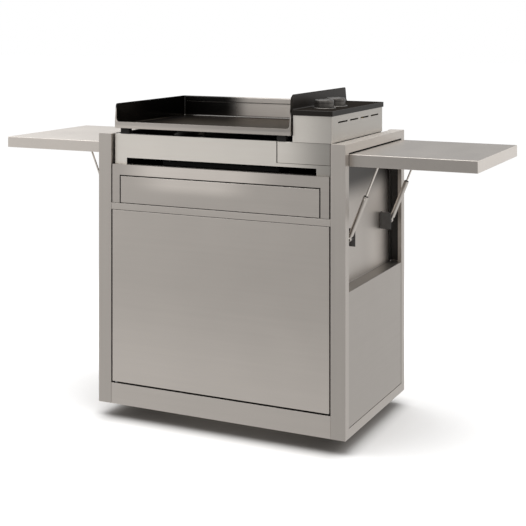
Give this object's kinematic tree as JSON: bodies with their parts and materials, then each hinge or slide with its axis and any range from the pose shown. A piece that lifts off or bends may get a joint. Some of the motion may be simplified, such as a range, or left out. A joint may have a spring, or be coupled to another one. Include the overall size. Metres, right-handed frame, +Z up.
{
  "type": "flat top griddle",
  "caption": "Gas flat top griddle on a stainless steel cart with fold-down side shelves, a drawer, a cabinet door and swivel castors.",
  "frame": {"origin": "on the floor under the middle of the cart", "axes": "+X to the right-hand shelf seen from the front, +Y from the front to the back, +Z up"},
  "size_m": [1.6, 0.526, 1.037],
  "materials": {
    "brushed_steel": "fine horizontal brushed stainless steel",
    "bright_steel": "polished stainless steel",
    "black_enamel": "satin black enamel",
    "polished_plate": "smooth dark polished cooking steel",
    "dark_bracket": "matt grey coated steel",
    "knob_black": "dark metallic knob",
    "wheel_rubber": "grey-black rubber",
    "zinc": "zinc plated steel",
    "brass": "machined brass"
  },
  "bodies": {
    "root": {"left_side_frame": "brushed_steel", "right_side_frame": "brushed_steel", "left_side_panel": "brushed_steel", "right_side_panel": "brushed_steel", "base_floor": "brushed_steel", "rear_panel": "brushed_steel", "cart_deck": "brushed_steel", "front_frame": "brushed_steel", "cross_rail": "brushed_steel", "front_skirt": "brushed_steel", "magnet_catch": "zinc", "left_drawer_runner": "zinc", "right_drawer_runner": "zinc", "lower_door_pin": "zinc", "upper_door_pin": "zinc", "left_shelf_hinge_rod": "zinc", "right_shelf_hinge_rod": "zinc", "left_front_strut_bracket": "dark_bracket", "left_rear_strut_bracket": "dark_bracket", "right_front_strut_bracket": "dark_bracket", "right_rear_strut_bracket": "dark_bracket", "griddle_chassis": "black_enamel", "main_fascia": "brushed_steel", "control_fascia": "brushed_steel", "front_burner": "bright_steel", "rear_burner": "bright_steel", "control_box": "brushed_steel", "control_cover": "black_enamel", "gas_manifold": "brass", "front_knob_bezel": "bright_steel", "rear_knob_bezel": "bright_steel"},
    "door": {"door_panel": "brushed_steel"},
    "drawer": {"drawer_front": "brushed_steel", "drawer_box": "brushed_steel"},
    "left_shelf": {"left_shelf": "brushed_steel"},
    "right_shelf": {"right_shelf": "brushed_steel"},
    "left_front_strut_tube": {"left_front_strut_tube": "brushed_steel"},
    "left_front_strut_rod": {"left_front_strut_rod": "bright_steel"},
    "left_rear_strut_tube": {"left_rear_strut_tube": "brushed_steel"},
    "left_rear_strut_rod": {"left_rear_strut_rod": "bright_steel"},
    "right_front_strut_tube": {"right_front_strut_tube": "brushed_steel"},
    "right_front_strut_rod": {"right_front_strut_rod": "bright_steel"},
    "right_rear_strut_tube": {"right_rear_strut_tube": "brushed_steel"},
    "right_rear_strut_rod": {"right_rear_strut_rod": "bright_steel"},
    "left_front_castor_fork": {"left_front_castor_fork": "zinc"},
    "left_front_castor_wheel": {"left_front_castor_wheel": "wheel_rubber"},
    "left_front_castor_brake": {"left_front_castor_brake": "dark_bracket"},
    "left_rear_castor_fork": {"left_rear_castor_fork": "zinc"},
    "left_rear_castor_wheel": {"left_rear_castor_wheel": "wheel_rubber"},
    "right_front_castor_fork": {"right_front_castor_fork": "zinc"},
    "right_front_castor_wheel": {"right_front_castor_wheel": "wheel_rubber"},
    "right_front_castor_brake": {"right_front_castor_brake": "dark_bracket"},
    "right_rear_castor_fork": {"right_rear_castor_fork": "zinc"},
    "right_rear_castor_wheel": {"right_rear_castor_wheel": "wheel_rubber"},
    "front_valve_spindle": {"front_valve_spindle": "zinc"},
    "front_knob": {"front_knob": "knob_black"},
    "rear_valve_spindle": {"rear_valve_spindle": "zinc"},
    "rear_knob": {"rear_knob": "knob_black"},
    "griddle_plate": {"griddle_plate": "polished_plate"},
    "grease_tray": {"grease_tray": "black_enamel"}
  },
  "joints": [
    {"name": "door_hinge", "type": "hinge", "parent": "root", "child": "door", "pos_m": [-0.3595, -0.253, 0.116], "axis": [0, 0, -1], "range_deg": [0, 100]},
    {"name": "drawer_slide", "type": "slide", "parent": "root", "child": "drawer", "axis": [0, -1, 0], "range_m": [0, 0.3]},
    {"name": "left_shelf_fold", "type": "hinge", "parent": "root", "child": "left_shelf", "pos_m": [-0.4155, -0.234, 0.863], "axis": [0, -1, 0], "range_deg": [0, 90]},
    {"name": "right_shelf_fold", "type": "hinge", "parent": "root", "child": "right_shelf", "pos_m": [0.4155, -0.234, 0.863], "axis": [0, 1, 0], "range_deg": [0, 90]},
    {"name": "left_front_strut_swing", "type": "hinge", "parent": "root", "child": "left_front_strut_tube", "pos_m": [-0.404, -0.193, 0.612], "axis": [0, 1, 0], "range_deg": [0, 25]},
    {"name": "left_front_strut_stroke", "type": "slide", "parent": "left_front_strut_tube", "child": "left_front_strut_rod", "axis": [0.3809, 0, -0.9246], "range_m": [0, 0.0864]},
    {"name": "left_rear_strut_swing", "type": "hinge", "parent": "root", "child": "left_rear_strut_tube", "pos_m": [-0.404, 0.177, 0.612], "axis": [0, 1, 0], "range_deg": [0, 25]},
    {"name": "left_rear_strut_stroke", "type": "slide", "parent": "left_rear_strut_tube", "child": "left_rear_strut_rod", "axis": [0.3809, 0, -0.9246], "range_m": [0, 0.0864]},
    {"name": "right_front_strut_swing", "type": "hinge", "parent": "root", "child": "right_front_strut_tube", "pos_m": [0.404, -0.193, 0.612], "axis": [0, -1, 0], "range_deg": [0, 25]},
    {"name": "right_front_strut_stroke", "type": "slide", "parent": "right_front_strut_tube", "child": "right_front_strut_rod", "axis": [-0.3809, 0, -0.9246], "range_m": [0, 0.0864]},
    {"name": "right_rear_strut_swing", "type": "hinge", "parent": "root", "child": "right_rear_strut_tube", "pos_m": [0.404, 0.177, 0.612], "axis": [0, -1, 0], "range_deg": [0, 25]},
    {"name": "right_rear_strut_stroke", "type": "slide", "parent": "right_rear_strut_tube", "child": "right_rear_strut_rod", "axis": [-0.3809, 0, -0.9246], "range_m": [0, 0.0864]},
    {"name": "left_front_castor_swivel", "type": "hinge", "parent": "root", "child": "left_front_castor_fork", "pos_m": [-0.285, -0.125, 0.1072], "axis": [0, 0, 1], "continuous": true},
    {"name": "left_front_castor_roll", "type": "hinge", "parent": "left_front_castor_fork", "child": "left_front_castor_wheel", "pos_m": [-0.285, -0.103, 0.0375], "axis": [1, 0, 0], "continuous": true},
    {"name": "left_front_castor_brake_press", "type": "hinge", "parent": "left_front_castor_fork", "child": "left_front_castor_brake", "pos_m": [-0.285, -0.103, 0.0375], "axis": [-1, 0, 0], "range_deg": [0, 12]},
    {"name": "left_rear_castor_swivel", "type": "hinge", "parent": "root", "child": "left_rear_castor_fork", "pos_m": [-0.285, 0.135, 0.1072], "axis": [0, 0, 1], "continuous": true},
    {"name": "left_rear_castor_roll", "type": "hinge", "parent": "left_rear_castor_fork", "child": "left_rear_castor_wheel", "pos_m": [-0.285, 0.157, 0.0375], "axis": [1, 0, 0], "continuous": true},
    {"name": "right_front_castor_swivel", "type": "hinge", "parent": "root", "child": "right_front_castor_fork", "pos_m": [0.285, -0.125, 0.1072], "axis": [0, 0, 1], "continuous": true},
    {"name": "right_front_castor_roll", "type": "hinge", "parent": "right_front_castor_fork", "child": "right_front_castor_wheel", "pos_m": [0.285, -0.103, 0.0375], "axis": [1, 0, 0], "continuous": true},
    {"name": "right_front_castor_brake_press", "type": "hinge", "parent": "right_front_castor_fork", "child": "right_front_castor_brake", "pos_m": [0.285, -0.103, 0.0375], "axis": [-1, 0, 0], "range_deg": [0, 12]},
    {"name": "right_rear_castor_swivel", "type": "hinge", "parent": "root", "child": "right_rear_castor_fork", "pos_m": [0.285, 0.135, 0.1072], "axis": [0, 0, 1], "continuous": true},
    {"name": "right_rear_castor_roll", "type": "hinge", "parent": "right_rear_castor_fork", "child": "right_rear_castor_wheel", "pos_m": [0.285, 0.157, 0.0375], "axis": [1, 0, 0], "continuous": true},
    {"name": "front_knob_turn", "type": "hinge", "parent": "root", "child": "front_valve_spindle", "pos_m": [0.306, -0.147, 0.976], "axis": [0, 0, 1], "range_deg": [0, 180]},
    {"name": "front_knob_push", "type": "slide", "parent": "front_valve_spindle", "child": "front_knob", "axis": [0, 0, -1], "range_m": [0, 0.003]},
    {"name": "rear_knob_turn", "type": "hinge", "parent": "root", "child": "rear_valve_spindle", "pos_m": [0.306, -0.053, 0.976], "axis": [0, 0, 1], "range_deg": [0, 180]},
    {"name": "rear_knob_push", "type": "slide", "parent": "rear_valve_spindle", "child": "rear_knob", "axis": [0, 0, -1], "range_m": [0, 0.003]},
    {"name": "plate_lift", "type": "slide", "parent": "root", "child": "griddle_plate", "axis": [0, 0, 1], "range_m": [0, 0.15]},
    {"name": "grease_tray_slide", "type": "slide", "parent": "root", "child": "grease_tray", "axis": [0, -1, 0], "range_m": [0, 0.16]}
  ],
  "couplings": [
    {"joint": "left_front_strut_swing", "follows": "left_shelf_fold", "ratio": 0.27322},
    {"joint": "left_front_strut_stroke", "follows": "left_shelf_fold", "m_per_rad": 0.054367},
    {"joint": "left_rear_strut_swing", "follows": "left_shelf_fold", "ratio": 0.27322},
    {"joint": "left_rear_strut_stroke", "follows": "left_shelf_fold", "m_per_rad": 0.054367},
    {"joint": "right_front_strut_swing", "follows": "right_shelf_fold", "ratio": 0.27322},
    {"joint": "right_front_strut_stroke", "follows": "right_shelf_fold", "m_per_rad": 0.054367},
    {"joint": "right_rear_strut_swing", "follows": "right_shelf_fold", "ratio": 0.27322},
    {"joint": "right_rear_strut_stroke", "follows": "right_shelf_fold", "m_per_rad": 0.054367}
  ]
}
